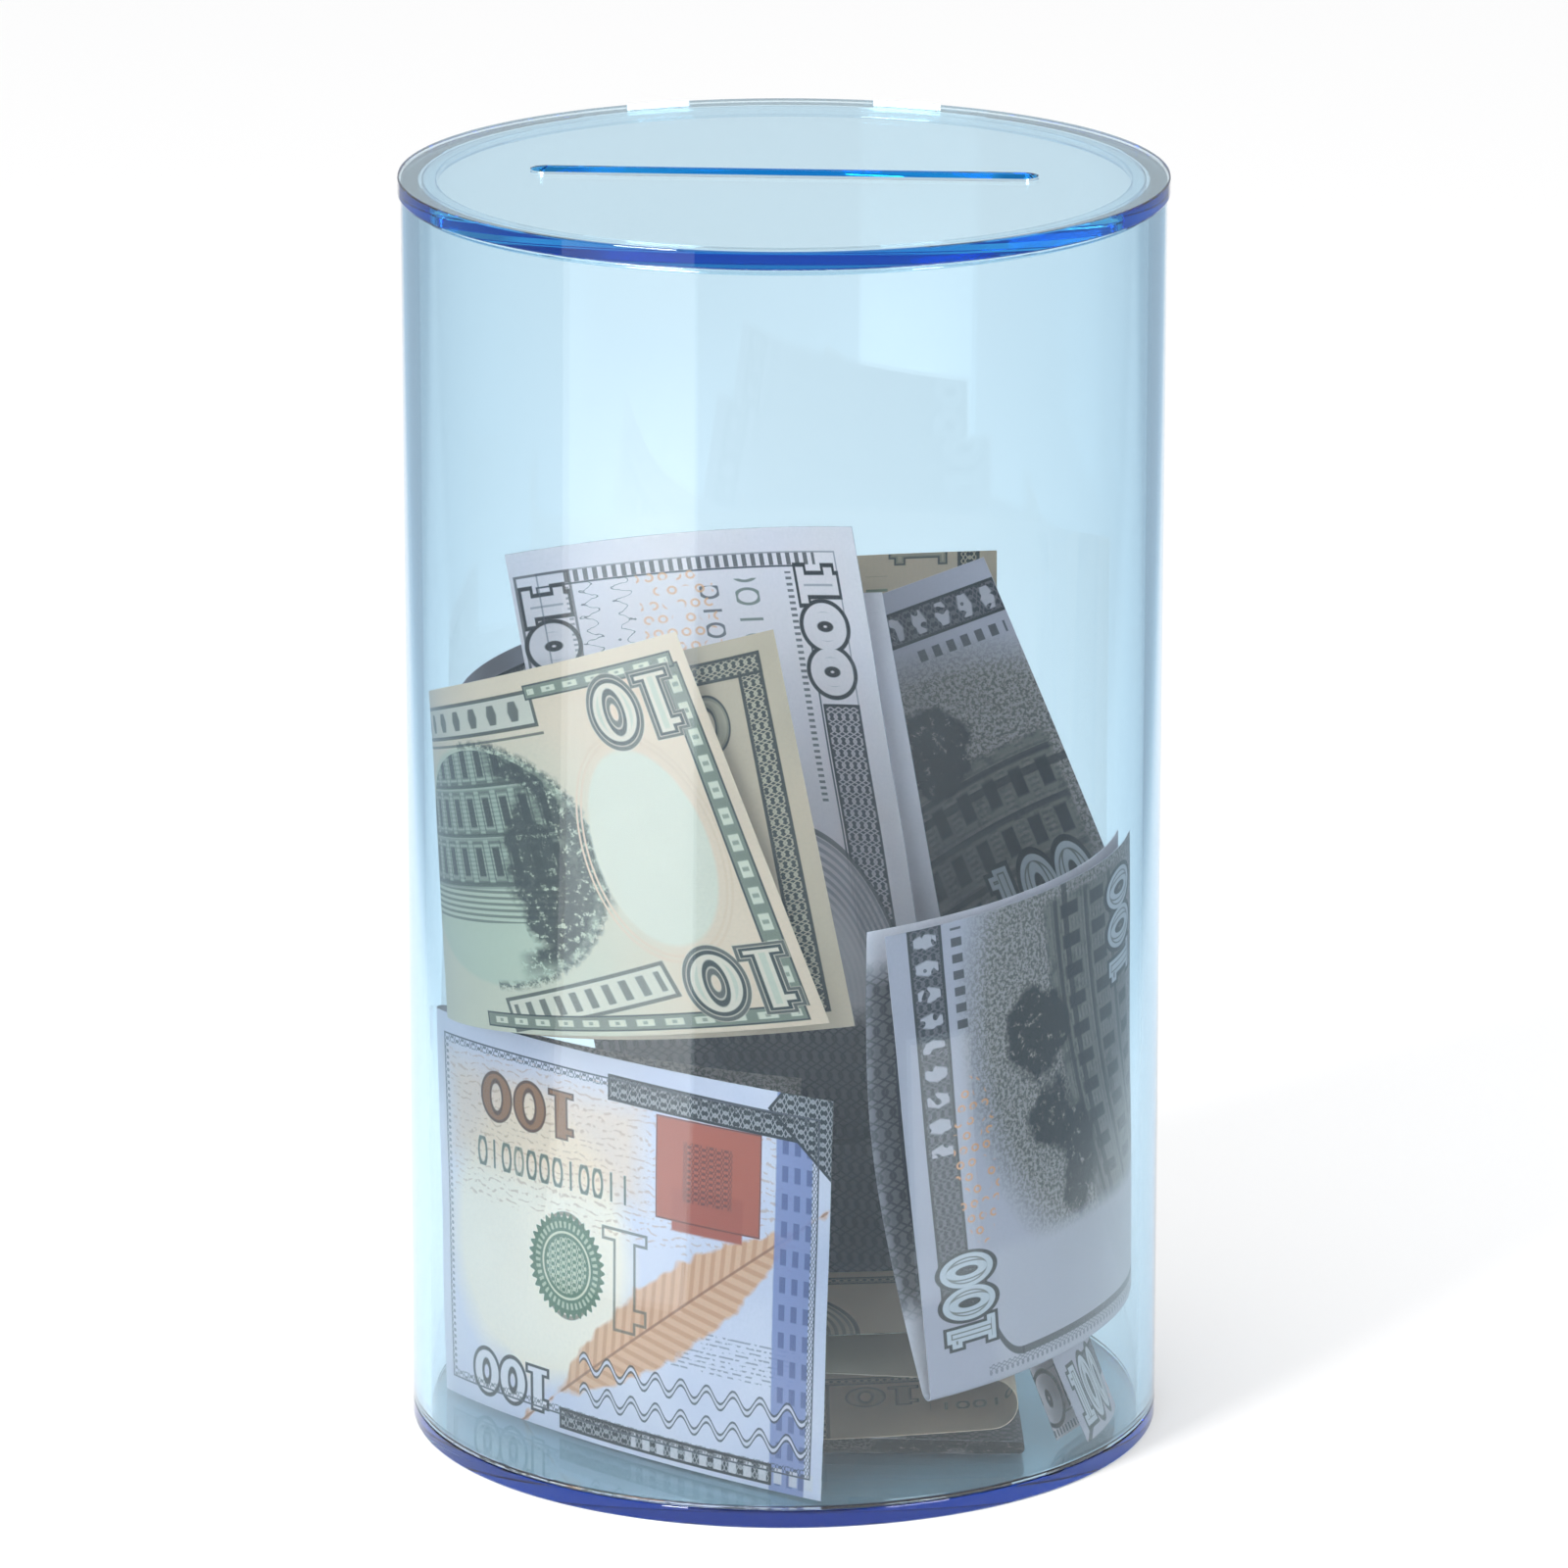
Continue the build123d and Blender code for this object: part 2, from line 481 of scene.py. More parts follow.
def slot_points(length, width, steps):
    """A slot along X with round ends."""
    straight, radius = (length - width) / 2, width / 2
    points = []
    for side, start in ((1, -math.pi / 2), (-1, math.pi / 2)):
        for i in range(steps + 1):
            turn = start + math.pi * i / steps
            points.append((side * straight + radius * math.cos(turn), radius * math.sin(turn)))
    return points


def plate(name, outlines, bottom, top, arris, material):
    """A flat plate between two heights, with its outer outline first and its holes after."""
    work = bmesh.new()
    loops = []
    for outline in outlines:
        points = [work.verts.new((x, y, bottom)) for x, y in outline]
        loops += [work.edges.new((a, b)) for a, b in zip(points, points[1:] + points[:1])]
    bmesh.ops.triangle_fill(work, use_beauty=True, use_dissolve=False, edges=loops)
    rise = bmesh.ops.extrude_face_region(work, geom=list(work.faces))
    for item in rise["geom"]:
        if isinstance(item, bmesh.types.BMVert):
            item.co.z = top
    bmesh.ops.recalc_face_normals(work, faces=work.faces)
    rims = [e for e in work.edges if len(e.link_faces) == 2 and e.calc_face_angle() > math.radians(60)]
    bmesh.ops.bevel(work, geom=rims, offset=arris, segments=2, profile=0.5, affect="EDGES")
    bmesh.ops.recalc_face_normals(work, faces=work.faces)
    mesh = bpy.data.meshes.new(name)
    work.to_mesh(mesh)
    work.free()
    smooth_by_angle(mesh)
    mesh.materials.append(material)
    piece = bpy.data.objects.new(name, mesh)
    scene.collection.objects.link(piece)
    return piece


SLOT_LENGTH = 0.084
SLOT_WIDTH = 0.005
base = plate("clear_base", [circle_points(base_high.x, ROUND_STEPS)],
             base_low.z, base_high.z - AIR, ARRIS, sheet_acrylic)
lid = plate("clear_lid", [circle_points(lid_high.x, ROUND_STEPS), slot_points(SLOT_LENGTH, SLOT_WIDTH, 20)],
            lid_low.z + AIR, lid_high.z, ARRIS, sheet_acrylic)
for piece, node, body in ((base, "base_plate", "root"), (lid, "lid_plate", "lid")):
    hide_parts(node)
    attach(piece, body)
    print(piece.name, len(piece.data.polygons), "faces", [round(d, 4) for d in piece.dimensions])

# %% [markdown]
# ## The banknotes' shape
#
# A note is a thin flat sheet that only bends one way at a time. So each one is drawn as a line in plan, a
# list of (length, turn) pieces, and the line is raised to the height of the sheet. Then the sheet is stood
# where it leans in the box. Real paper is never quite flat, so the corners are pulled a few millimetres and
# a slow, seeded noise buckles the middle. The numbers are millimetres and degrees until the last step.

# %% Plan line
def plan_line(bends, step=2.0):
    """Stations along a bent line: distance, x, y and the direction to its left, from the origin."""
    stations = []
    distance = x = y = heading = 0.0
    for length, turn in bends:
        count = max(2, round(length / step), round(abs(turn) / 12))
        for i in range(count):
            stations.append((distance, x, y, -math.sin(heading), math.cos(heading)))
            piece, bend = length / count, math.radians(turn) / count
            x += piece * math.cos(heading + bend / 2)
            y += piece * math.sin(heading + bend / 2)
            heading += bend
            distance += piece
    stations.append((distance, x, y, -math.sin(heading), math.cos(heading)))
    return stations


# %% Standing a sheet in the box
PILE_TURN = math.radians(4.4)
FLOOR_OF_BOX = 3.0


def standing(foot, heading, back, right):
    """The move that stands a sheet at foot, turned to heading, leaning back and to the right."""
    x, y, z = foot
    return (Matrix.Rotation(PILE_TURN, 4, "Z") @ Matrix.Translation((x, y, z + FLOOR_OF_BOX))
            @ Matrix.Rotation(math.radians(-back), 4, "X") @ Matrix.Rotation(math.radians(right), 4, "Y")
            @ Matrix.Rotation(math.radians(heading), 4, "Z"))


def corner_pull(pulls, distance, share):
    """How far the corners drag a point. pulls lists (distance, pull at the bottom, pull at the top)."""
    for (d0, low0, high0), (d1, low1, high1) in zip(pulls, pulls[1:]):
        if distance <= d1 or (d1, low1, high1) == pulls[-1]:
            along = min(1.0, max(0.0, (distance - d0) / (d1 - d0)))
            low = Vector(low0).lerp(Vector(low1), along)
            high = Vector(high0).lerp(Vector(high1), along)
            return low.lerp(high, share)
    return Vector()


# %% Sheet mesh
PAPER = 0.12
BUCKLE = 0.35
BUCKLE_LENGTH = 26.0
ROW = 2.2
LONG_SIDE = 156.0
TUBE_BORE = 60.3


def sheet_mesh(name, points, prints, materials):
    """A closed two sided sheet. points[i][j] is a place in mm, prints[i][j] its place on the print."""
    columns, rows = len(points), len(points[0])
    normals = []
    for i in range(columns):
        for j in range(rows):
            along = points[min(i + 1, columns - 1)][j] - points[max(i - 1, 0)][j]
            upward = points[i][min(j + 1, rows - 1)] - points[i][max(j - 1, 0)]
            normals.append(along.cross(upward).normalized())
    flat = [p for column in points for p in column]
    marks = [p for column in prints for p in column]
    count = len(flat)
    verts = [tuple((p + n * side * PAPER / 2) * MM) for side in (1, -1) for p, n in zip(flat, normals)]
    faces, sides = [], []
    for i in range(columns - 1):
        for j in range(rows - 1):
            a, b, c, d = i * rows + j, (i + 1) * rows + j, (i + 1) * rows + j + 1, i * rows + j + 1
            faces += [(a, b, c, d), (d + count, c + count, b + count, a + count)]
            sides += [0, 1]
    rim = [i * rows for i in range(columns)]
    rim += [(columns - 1) * rows + j for j in range(1, rows)]
    rim += [i * rows + rows - 1 for i in range(columns - 2, -1, -1)]
    rim += [j for j in range(rows - 2, 0, -1)]
    for a, b in zip(rim, rim[1:] + rim[:1]):
        faces.append((b, a, a + count, b + count))
        sides.append(0)
    mesh = bpy.data.meshes.new(name)
    mesh.from_pydata(verts, [], faces)
    layer = mesh.uv_layers.new(name="print")
    for loop in mesh.loops:
        x, y = marks[loop.vertex_index % count]
        layer.data[loop.index].uv = (x / LONG_SIDE, y / LONG_SIDE)
    for material in materials:
        mesh.materials.append(material)
    mesh.polygons.foreach_set("material_index", sides)
    mesh.shade_smooth()
    mesh.set_sharp_from_angle(angle=math.radians(60))
    piece = bpy.data.objects.new(name, mesh)
    scene.collection.objects.link(piece)
    return piece


def kept_in(point):
    """Moves a point back inside the bore if buckling has taken it out."""
    reach = math.hypot(point.x, point.y)
    if reach > TUBE_BORE:
        point.x *= TUBE_BORE / reach
        point.y *= TUBE_BORE / reach
    return point


def buckled(place, side, seed):
    """A slow wave in the paper, the same every time for the same seed."""
    at = place / BUCKLE_LENGTH + Vector((seed * 7.3, seed * 3.1, 0))
    return place + side * BUCKLE * noise.noise(at)


def strip_note(bends, height, stand, pulls, seed, print_map):
    """Points and print marks of a note that stands on a long line and is height tall."""
    rows = round(height / ROW)
    turn_back = Matrix.Rotation(PILE_TURN, 3, "Z")
    points, prints = [], []
    for distance, x, y, left_x, left_y in plan_line(bends):
        column, marks = [], []
        side = (stand.to_3x3() @ Vector((left_x, left_y, 0))).normalized()
        for j in range(rows + 1):
            share = j / rows
            place = stand @ Vector((x, y, share * height))
            place += turn_back @ corner_pull(pulls, distance, share)
            column.append(kept_in(buckled(place, side, seed)))
            marks.append(print_map(distance, share * height))
        points.append(column)
        prints.append(marks)
    return points, prints


def pocket_points(bends, leaf, gap, stand, pulls, seed, spring):
    """A note folded across the bottom: down the front leaf, round the fold and up the back leaf."""
    turn_back = Matrix.Rotation(PILE_TURN, 3, "Z")
    radius = gap / 2 + 0.1
    rows, fold_steps = 36, 8
    heights = [radius + i * (leaf - radius) / rows for i in range(1, rows + 1)]
    arc = [math.pi * i / fold_steps for i in range(fold_steps + 1)]
    profile = [(-radius, z) for z in reversed(heights)]
    profile += [(-radius * math.cos(t), radius - radius * math.sin(t)) for t in arc]
    profile += [(radius, z) for z in heights]
    points, prints = [], []
    stations = plan_line(bends)
    total = stations[-1][0]
    for distance, x, y, left_x, left_y in stations:
        column, marks = [], []
        side = (stand.to_3x3() @ Vector((left_x, left_y, 0))).normalized()
        run = 0.0
        previous = profile[0]
        for across, z in profile:
            run += math.dist((across, z), previous)
            previous = (across, z)
            place = stand @ Vector((x + left_x * across, y + left_y * across, z))
            share = z / leaf
            place += turn_back @ corner_pull(pulls, distance, share)
            if across > 0:
                loose = (1 - distance / total) ** 2
                place += turn_back @ Vector(spring) * loose * (share * 0.5 + math.sin(math.pi * share))
            column.append(kept_in(buckled(place, side, seed)))
            marks.append((run, distance))
        points.append(column)
        prints.append(marks)
    return points, prints

# %% [markdown]
# ## The banknotes' print
#
# The print is drawn in the material itself, in millimetres on the sheet. A shape is a distance that is
# negative inside it, made from fields of x and y. Ink is laid over the paper one shape at a time. The
# designs are generic: numerals, woven line bands, a plain building, a leaf, a toothed ring.

# %% Shapes
SOFT_EDGE = 0.14


def inside(distance, soft=SOFT_EDGE):
    """1 where the distance is negative, 0 where it is positive, with a soft edge."""
    return (0.5 - distance / soft).math("ADD", 0.0, clamp=True)


def outline(distance, width, soft=SOFT_EDGE):
    return inside(distance.size() - width / 2, soft)


def box(x, y, left, bottom, right, top):
    outside = x.away((left + right) / 2) - (right - left) / 2
    return outside.over(y.away((bottom + top) / 2) - (top - bottom) / 2)


def oval(x, y, centre_x, centre_y, radius_x, radius_y):
    across, up = (x - centre_x) / radius_x, (y - centre_y) / radius_y
    return ((across * across + up * up).math("SQRT") - 1.0) * min(radius_x, radius_y)


def turned_about(x, y, centre_x, centre_y, degrees):
    """Coordinates in a frame turned about a centre."""
    c, s = math.cos(math.radians(degrees)), math.sin(math.radians(degrees))
    across, up = x - centre_x, y - centre_y
    return across * c + up * s, up * c - across * s


# %% [markdown]
# A numeral is a slab "1" and a ring "0". The two noughts of a hundred are one nought seen in a mirror, so
# they cost one shape. Each string is a node group that takes unit coordinates and gives a distance.

# %% Numerals and woven bands
def numeral_group(name, noughts):
    """A group that gives the distance to a 1 followed by one or two noughts, one unit tall."""
    group = bpy.data.node_groups.new(name, "ShaderNodeTree")
    group.interface.new_socket(name="X", in_out="INPUT", socket_type="NodeSocketFloat")
    group.interface.new_socket(name="Y", in_out="INPUT", socket_type="NodeSocketFloat")
    group.interface.new_socket(name="Distance", in_out="OUTPUT", socket_type="NodeSocketFloat")
    given = group.nodes.new("NodeGroupInput").outputs
    x, y = Field(group, given["X"]), Field(group, given["Y"])
    stem = box(x, y, 0.16, 0.0, 0.40, 1.0)
    foot = box(x, y, 0.02, 0.0, 0.54, 0.11)
    flag = box(x, y, 0.03, 0.76, 0.22, 0.90)
    if noughts == 2:
        x = x.away(1.36) + 0.62
        centre = 1.0
    else:
        centre = 0.99
    ring = oval(x, y, centre, 0.5, 0.35, 0.52).over(oval(x, y, centre, 0.5, 0.14, 0.34) * -1.0)
    distance = stem.under(foot).under(flag).under(ring)
    group.links.new(distance.socket, group.nodes.new("NodeGroupOutput").inputs["Distance"])
    return group


numerals = {1: numeral_group("ten", 1), 2: numeral_group("hundred", 2)}
STRING_WIDTH = {1: 1.36, 2: 2.10}


def numeral(x, y, noughts, centre, height, degrees=0, stretch=1.0):
    """Distance in mm to a 10 or a 100 centred at a place, turned by degrees."""
    across, up = turned_about(x, y, centre[0], centre[1], degrees)
    node = x.tree.nodes.new("ShaderNodeGroup")
    node.node_tree = numerals[noughts]
    unit_x = across / (height * stretch) + STRING_WIDTH[noughts] / 2
    unit_y = up / height + 0.5
    x.tree.links.new(unit_x.socket, node.inputs["X"])
    x.tree.links.new(unit_y.socket, node.inputs["Y"])
    return Field(x.tree, node.outputs["Distance"]) * height


def woven(x, y, pitch, length, swing=0.9):
    """Two families of waving lines that cross: 1 on the lines, 0 between them."""
    sway = (x * (math.tau / length)).wave() * swing
    one = (y / pitch + sway).cell().away(0.5)
    other = (y / pitch - sway + 0.5).cell().away(0.5)
    return inside(one.under(other) - 0.14, 0.12)


def specks(x, y, pitch, stagger, radius):
    """Tiny rings, a little taller than wide, in staggered columns."""
    across = (x / pitch).cell() - 0.5
    up = (y / pitch + (x / pitch).math("FLOOR") * stagger).cell() - 0.5
    return outline(oval(across, up, 0, 0, radius, radius + 0.04), 0.14, 0.06)


def digit_row(x, y, left, bottom, right, height, pitch):
    """A row of small ones and noughts, like a count."""
    step = (x - left) / pitch
    across = (step.cell() - 0.5) * pitch
    up = y - (bottom + height / 2)
    pick = ((step - step.cell()) * 12.9898).wave() * 43758.5
    is_one = pick.cell().above(0.55, 0.01)
    bar = box(across, up, -0.25, -height / 2, 0.25, height / 2)
    ring = outline(oval(across, up, 0, 0, pitch * 0.33, height / 2), 0.5)
    marks = inside(bar) * is_one + ring * (1.0 - is_one)
    return marks * inside(box(x, y, left, bottom, right, bottom + height))


# %% [markdown]
# The wall tints all that is seen through it blue. So the paints are mixed with that much less green and
# blue, and the colours below can be those the eye sees.

# %% Paint
WALL_CORRECTION = (1.0, 0.85, 0.80)


class Paint:
    """Paper with inks laid over it, one after another, and a finish at the end."""

    def __init__(self, name, paper):
        self.material = bpy.data.materials.new(name)
        self.material.use_nodes = True
        self.tree = self.material.node_tree
        place = self.tree.nodes.new("ShaderNodeUVMap")
        place.uv_map = "print"
        self.place = place.outputs["UV"]
        self.x, self.y = (axis * LONG_SIDE for axis in split_axes(self.tree, self.place)[:2])
        self.fibre = self.noise(260, 4.0, 0.7)
        self.cloud = self.noise(7, 2.0)
        self.colour = self.corrected(paper)

    def noise(self, *shape):
        """Noise over the print, from a scale, a detail and a roughness."""
        return noise_field(self.tree, self.place, *shape)

    def corrected(self, colour):
        return tuple(c * t for c, t in zip(colour, WALL_CORRECTION))

    def lay(self, mask, colour, strength=1.0):
        """Lays a colour over what is there, as far as the mask says."""
        if strength != 1.0:
            mask = mask * strength
        self.colour = blend(self.tree, mask, self.colour, self.corrected(colour))

    def finish(self, roughness=0.62):
        """Adds the mottle and tooth of cotton paper and connects everything to the shader."""
        tree = self.tree
        mottle = (self.fibre - 0.5) * 0.22 + (self.cloud - 0.5) * 0.16 + 1.0
        tone = tree.nodes.new("ShaderNodeVectorMath")
        tone.operation = "SCALE"
        tree.links.new(self.colour, tone.inputs["Vector"])
        tree.links.new(mottle.socket, tone.inputs["Scale"])
        shader = tree.nodes["Principled BSDF"]
        tree.links.new(tone.outputs["Vector"], shader.inputs["Base Color"])
        rough = self.fibre * 0.2 + (roughness - 0.1)
        tree.links.new(rough.socket, shader.inputs["Roughness"])
        tooth = tree.nodes.new("ShaderNodeBump")
        tooth.inputs["Distance"].default_value = 0.00006
        tooth.inputs["Strength"].default_value = 0.5
        tree.links.new(self.fibre.socket, tooth.inputs["Height"])
        tree.links.new(tooth.outputs["Normal"], shader.inputs["Normal"])
        print(self.material.name, len(tree.nodes), "nodes")
        return self.material

# %% [markdown]
# Five prints are enough for the eleven notes. The first is the face of a hundred: cool paper, a cream
# cloud, a brown hundred, a leaf in copper and blue ribbon near one end.

# %% Face of a hundred
def srgb(red, green, blue):
    """A given colour, as the linear values that the shader wants."""
    return tuple((c / 255) ** 2.2 for c in (red, green, blue))


DARK = srgb(26, 26, 34)
SHADE = srgb(70, 72, 84)


def hundred_face():
    p = Paint("hundred_face", srgb(206, 212, 234))
    x, y = p.x, p.y
    p.lay(p.cloud.above(0.5, 0.3), srgb(222, 224, 236), 0.6)
    wobble = (p.cloud - 0.5) * 14.0
    p.lay(inside(oval(x, y + wobble, 94, 31, 22, 24), 5.0), srgb(246, 238, 220))
    p.lay(inside(box(x, y, 72, 43, 118, 59), 6.0), srgb(240, 212, 180), 0.7)
    script = p.noise(46, 1.0)
    rows = outline((y + (script - 0.5) * 3.0).math("PINGPONG", 1.3) - 0.65, 0.34)
    breaks = p.noise(150, 1.0).above(0.5)
    p.lay(rows * breaks * inside(box(x, y, 72, 36, 150, 62)), srgb(190, 150, 120), 0.55)
    lower = outline(y.math("PINGPONG", 0.8) - 0.4, 0.3) * breaks * inside(box(x, y, 116, 17, 150, 24))
    p.lay(lower, DARK, 0.55)
    across, up = turned_about(x, y, 124, 25, 36)
    swell = (6.4 - across * across * 0.0064).over(0.0)
    vane = up.size() - swell - (script - 0.5) * 3.0
    barbs = ((across - up.size() * 0.9) * 2.4).wave()
    p.lay(inside(vane, 0.8), srgb(222, 176, 138), 0.95)
    p.lay(inside(vane, 0.8) * barbs.above(0.2, 0.6), srgb(196, 138, 100), 0.6)
    p.lay(outline(up, 0.45) * inside(vane), srgb(150, 96, 66), 0.8)
    p.lay(inside(box(x, y, 123, 43, 141, 57) - 1.5, 0.4), srgb(176, 88, 66))
    p.lay(inside(box(x, y, 126, 41, 138, 46) - 1.2, 0.4), srgb(168, 80, 60))
    p.lay(woven(x, y, 1.0, 3.0) * inside(box(x, y, 127, 45, 137, 55)), srgb(96, 50, 44), 0.8)
    p.lay(outline(box(x, y, 123, 43, 141, 57) - 1.5, 0.3), srgb(120, 56, 44))
    brown = numeral(x, y, 2, (92, 54.5), 8.0, 180, 1.35)
    p.lay(inside(brown), srgb(150, 104, 68))
    p.lay(outline(brown, 0.35), srgb(96, 62, 40))
    p.lay(digit_row(x, y, 79, 42, 116, 5.0, 3.1), srgb(74, 92, 80), 0.9)
    big = numeral(x, y, 1, (107, 29), 17.0, 180, 1.1)
    p.lay(outline(big, 0.5), srgb(88, 86, 70), 0.8)
    away_x, away_y = x - 101.0, y - 29.0
    angle = away_y.math("ARCTAN2", away_x)
    reach = (away_x * away_x + away_y * away_y).math("SQRT")
    teeth = reach - 8.6 - (angle * 36.0).wave() * 0.45
    p.lay(inside(teeth), srgb(74, 110, 84))
    p.lay(outline(reach - 6.9, 1.1) * ((angle * 40.0).wave().above(0.0, 0.4)), srgb(190, 205, 180), 0.8)
    p.lay(outline(reach - 5.6, 0.4), srgb(205, 214, 190))
    p.lay(woven(away_x, away_y, 1.3, 2.6) * inside(reach - 4.8), srgb(196, 208, 184), 0.9)
    ribbon = inside(box(x, y, 145.5, -1, 152.5, 68), 0.3)
    p.lay(ribbon, srgb(120, 136, 190), 0.9)
    blocks = ((x - 145.5) / 2.35).cell().above(0.5, 0.1) * (y / 4.6 + 0.2).cell().above(0.42, 0.06)
    p.lay(ribbon * blocks, srgb(66, 78, 130), 0.75)
    top_band = box(x, y + (x - 112).size() * 0.02, 111, 59.2, 156, 63.6)
    corner = box(*turned_about(x, y, 153, 62, -40), -8, -5, 8, 5)
    bottom_band = box(x, y, 99, 0.8, 146, 4.4)
    for band in (top_band, corner, bottom_band):
        p.lay(inside(band), DARK)
        p.lay(woven(x, y, 1.5, 4.2) * inside(band + 0.5), srgb(176, 180, 186), 0.75)
    pales = (x / 3.1).cell().away(0.5) - 0.26
    p.lay(inside(pales, 0.1) * inside(box(x, y, 116, 1.3, 156, 3.9)), srgb(214, 216, 224), 0.85)
    for middle in (8.0, 13.2):
        scroll = y - middle - (x * 1.15).wave() * 1.3
        strip = inside(box(x, y, 104, middle - 2, 153, middle + 2))
        p.lay(outline(scroll, 1.5) * strip, DARK, 0.85)
        p.lay(outline(scroll, 0.6) * strip, srgb(206, 210, 226))
    grey = numeral(x, y, 2, (86.5, 6.2), 7.0, 180, 1.3)
    p.lay(inside(grey - 0.5), DARK)
    p.lay(inside(grey), srgb(224, 226, 234))
    p.lay(woven(x, y, 1.1, 3.0) * outline(box(x, y, 71, 4, 153, 62), 1.2), DARK, 0.8)
    p.lay(outline(box(x, y, 70.4, 3.2, 153.6, 62.8), 0.3), SHADE)
    return p.finish()


prints = {"hundred_face": hundred_face()}

# %% [markdown]
# The other end of the same face shows on the notes that stand upright: white paper, a heavy hundred at each
# side, a woven band and a big plain oval. A dark patch of painted shade lies over its low part.

# %% End of a hundred
def hundred_end():
    p = Paint("hundred_end", srgb(236, 235, 242))
    x, y = p.x, p.y
    p.lay(p.cloud.above(0.55, 0.3), srgb(226, 228, 242), 0.7)
    frame = box(x, y, 4, 4.8, 147.5, 61.5)
    p.lay((y * 3.6).wave().above(0.0, 0.3) * inside(box(x, y, 145.2, 9, 147.4, 57)), DARK, 0.85)
    p.lay(outline(box(x, y, 4, 12.6, 145.0, 61.8), 0.35), SHADE)
    side_band = box(x, y, 14, 4.6, 120, 12.2)
    p.lay(inside(side_band), srgb(54, 54, 64))
    p.lay(woven(x, y, 1.6, 4.4) * inside(side_band + 0.4), srgb(206, 206, 216), 0.8)
    p.lay(outline(side_band + 0.3, 0.4), DARK)
    for centre_y in (9.2, 60.6):
        tall = numeral(x, y, 2, (133.2, centre_y), 7.4, 180, 1.45)
        p.lay(inside(tall - 0.9), DARK)
        p.lay(inside(tall - 0.35), srgb(232, 231, 238))
        p.lay(inside(tall + 0.75), srgb(150, 150, 160), 0.8)
    p.lay(outline(box(x, y, 60, 56.2, 147, 65.0) - 0.4, 0.5), DARK, 0.8)
    p.lay(digit_row(x, y, 104, 21.3, 143, 4.6, 4.2), srgb(86, 104, 92), 0.85)
    p.lay(digit_row(x, y, 132, 29.0, 142, 3.6, 3.6), srgb(70, 74, 84), 0.9)
    wriggle = p.noise(60, 2.0, 0.6)
    for line in (47.0, 53.0):
        stroke = outline(y - line - (x * 2.6).wave() * 1.2 - (wriggle - 0.5) * 5.0, 0.32)
        p.lay(stroke * inside(box(x, y, 130, line - 3, 145, line + 3)), DARK, 0.8)
    p.lay((x * 5.6).wave().above(0.15, 0.4) * inside(box(x, y, 102, 14.4, 144, 15.6)), DARK, 0.8)
    p.lay((x * 6.5).wave().above(0.2, 0.4) * inside(box(x, y, 130, 56.2, 145, 57.0)), DARK, 0.6)
    sparse = p.noise(52, 0.0).above(0.46)
    p.lay(specks(x, y, 2.6, 0.5, 0.24) * sparse * inside(box(x, y, 108, 30, 146, 44)),
          srgb(232, 176, 120), 0.8)
    face = oval(x, y, 68, 25, 30, 21)
    p.lay(inside(face, 0.5), srgb(198, 198, 206), 0.8)
    p.lay((face * 5.5).wave().above(0.0, 0.5) * inside(face), srgb(104, 104, 114), 0.6)
    p.lay(inside(oval(x, y, 64, 23, 20, 13), 4.0), srgb(226, 226, 230), 0.85)
    p.lay(outline(face, 0.8), DARK, 0.8)
    # Painted shade: a dark patch, with a darker woven texture in it, over the part of an upright note that
    # stands low between the others, where little light reaches.
    painted_shade = inside(box(x, y, 6, -1, 62, 68), 5.0)
    p.lay(painted_shade, srgb(60, 58, 64), 0.85)
    p.lay(painted_shade * woven(x, y, 2.2, 7.0), srgb(20, 20, 26), 0.7)
    p.lay(outline(frame, 0.3), SHADE, 0.6)
    return p.finish()


prints["hundred_end"] = hundred_end()

# %% [markdown]
# The back of a hundred has a dark woven band down one side, a plain building with trees in fine
# engraving, a heavy hundred in a frame that curves away round it, and a scatter of orange specks. Its paper
# is painted grey, darker than the same paper on the face: painted shade, for the shade on the notes at the
# right.

# %% Building
def building(p, x, y, left, right, storey, bay, dark, light):
    """Windows between piers and a ledge above each storey. x runs along the storeys, y across them."""
    body = inside(box(x, y, 0, left, 78, right), 1.0)
    engraving = (y * 6.0).wave().above(0.1, 0.5)
    window_x, window_y = (x / bay).cell().away(0.5), (y / storey).cell().away(0.5)
    glass = inside((window_x - 0.22).over(window_y - 0.28), 0.06)
    arch = inside((window_x - 0.33).over(window_y - 0.40), 0.06) * (1.0 - glass)
    ledge = inside((y / storey).cell() - 0.13, 0.05)
    p.lay(body, light, 0.75)
    p.lay(body * engraving, dark, 0.35)
    p.lay(body * arch, light)
    p.lay(body * glass, dark, 0.95)
    p.lay(body * ledge, dark, 0.75)
    grime = p.noise(30, 4.0, 0.7)
    p.lay(body * grime.above(0.58, 0.1), dark, 0.5)
    return body


